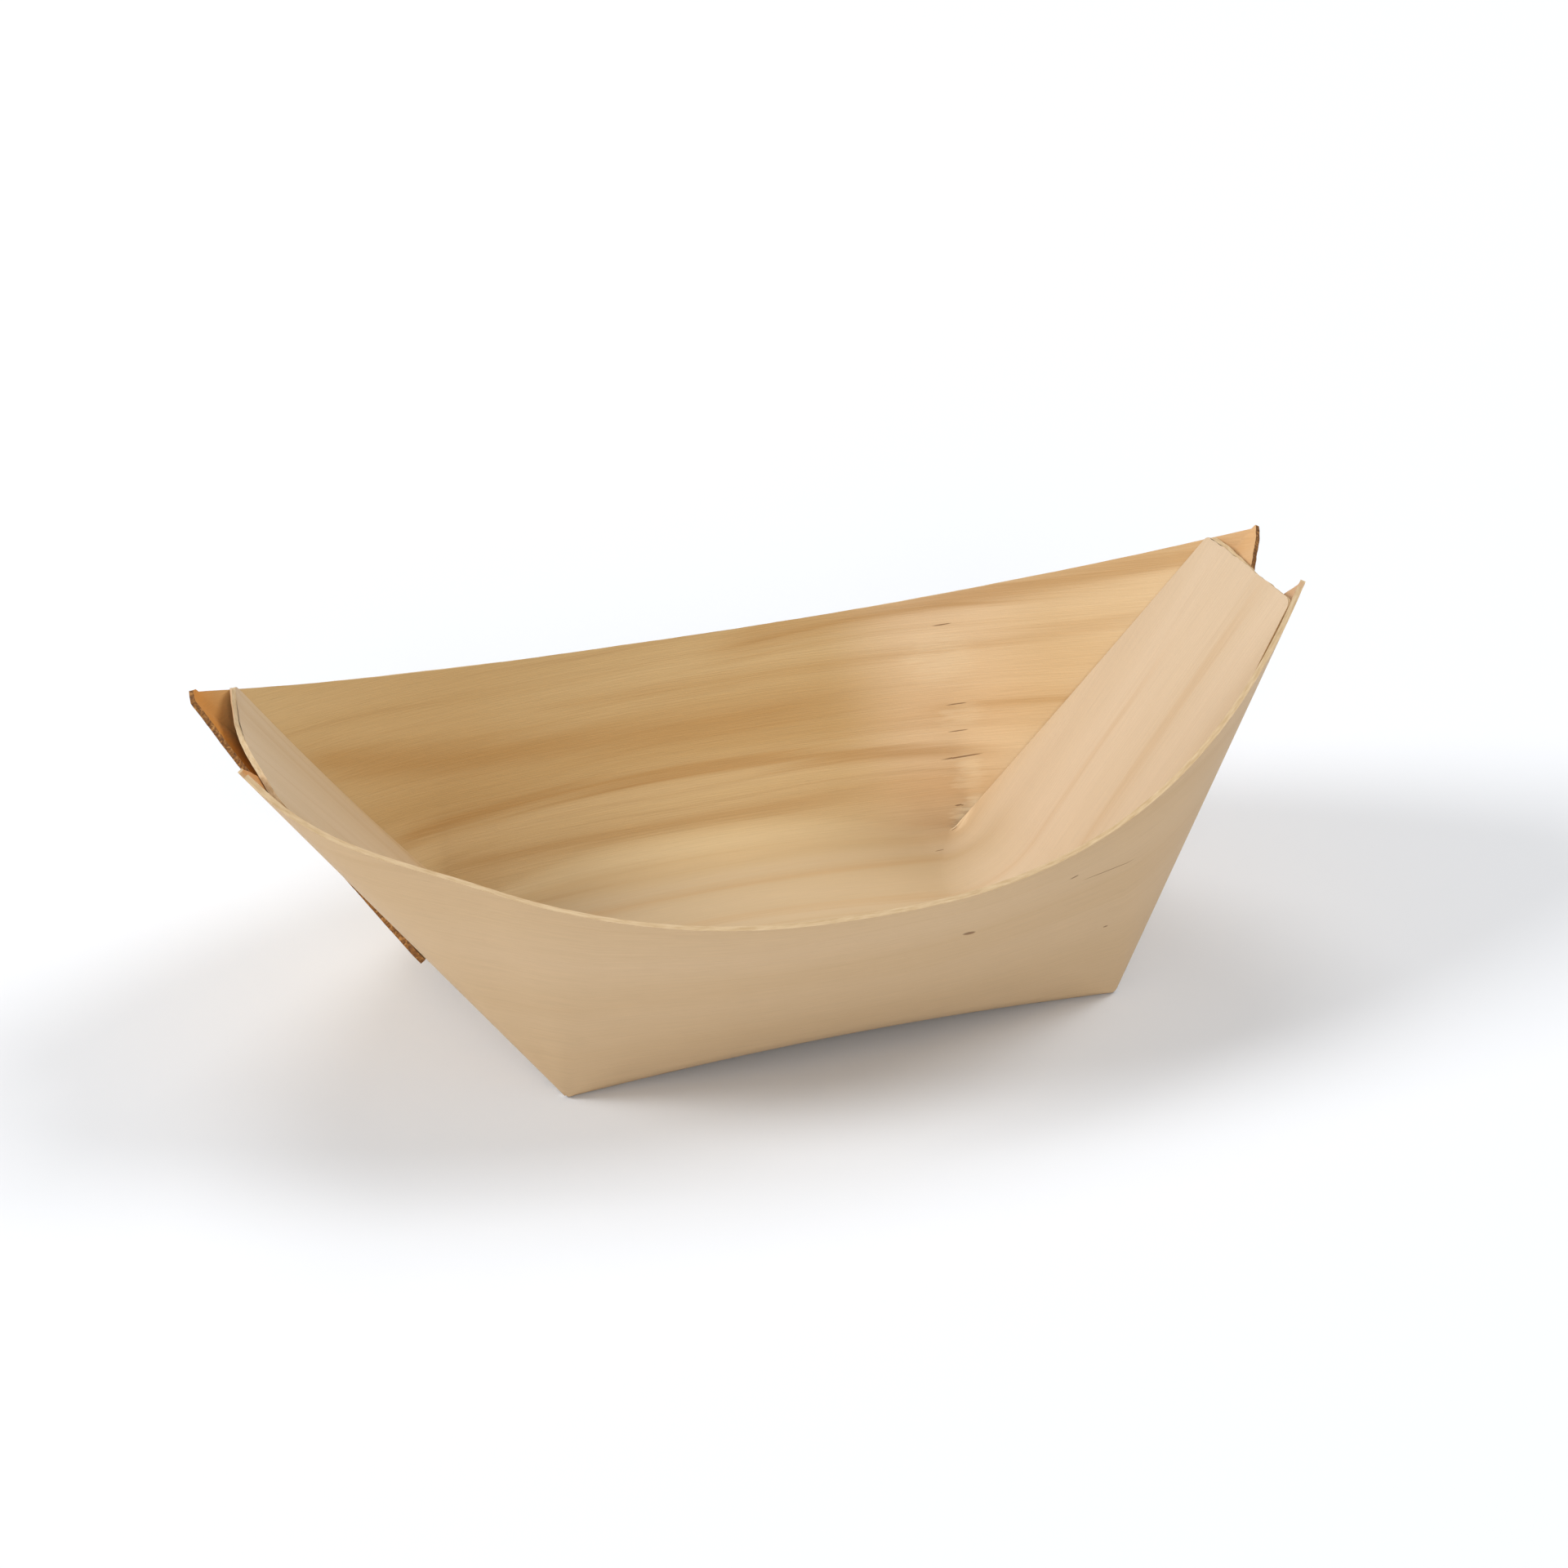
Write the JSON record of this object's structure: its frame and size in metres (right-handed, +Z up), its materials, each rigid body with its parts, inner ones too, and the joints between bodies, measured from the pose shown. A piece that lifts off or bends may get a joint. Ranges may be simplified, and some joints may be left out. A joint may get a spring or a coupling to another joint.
{
  "type": "wooden snack boat",
  "caption": "Small disposable serving boat folded from thin pine veneer, with flared sides, an arched floor and upswept pointed ends, for holding snacks.",
  "frame": {"origin": "on the table under the middle of the boat's bounding box", "axes": "+X along the boat towards the bow, the end at the right in the picture; +Y towards the far side; +Z up"},
  "size_m": [0.1424, 0.081, 0.0468],
  "materials": {
    "pine_veneer": "bare, planed",
    "glue": "satin"
  },
  "bodies": {
    "root": {"floor": "pine_veneer", "near_side_wall": "pine_veneer", "far_side_wall": "pine_veneer", "bow_tongue": "pine_veneer", "bow_near_cheek": "pine_veneer", "bow_far_cheek": "pine_veneer", "bow_near_tuck_flap": "pine_veneer", "bow_far_tuck_flap": "pine_veneer", "stern_tongue": "pine_veneer", "stern_near_cheek": "pine_veneer", "stern_far_cheek": "pine_veneer", "stern_near_tuck_flap": "pine_veneer", "stern_far_tuck_flap": "pine_veneer", "bow_flap_glue": "glue", "bow_tongue_glue": "glue", "stern_flap_glue": "glue", "stern_tongue_glue": "glue"}
  },
  "joints": []
}
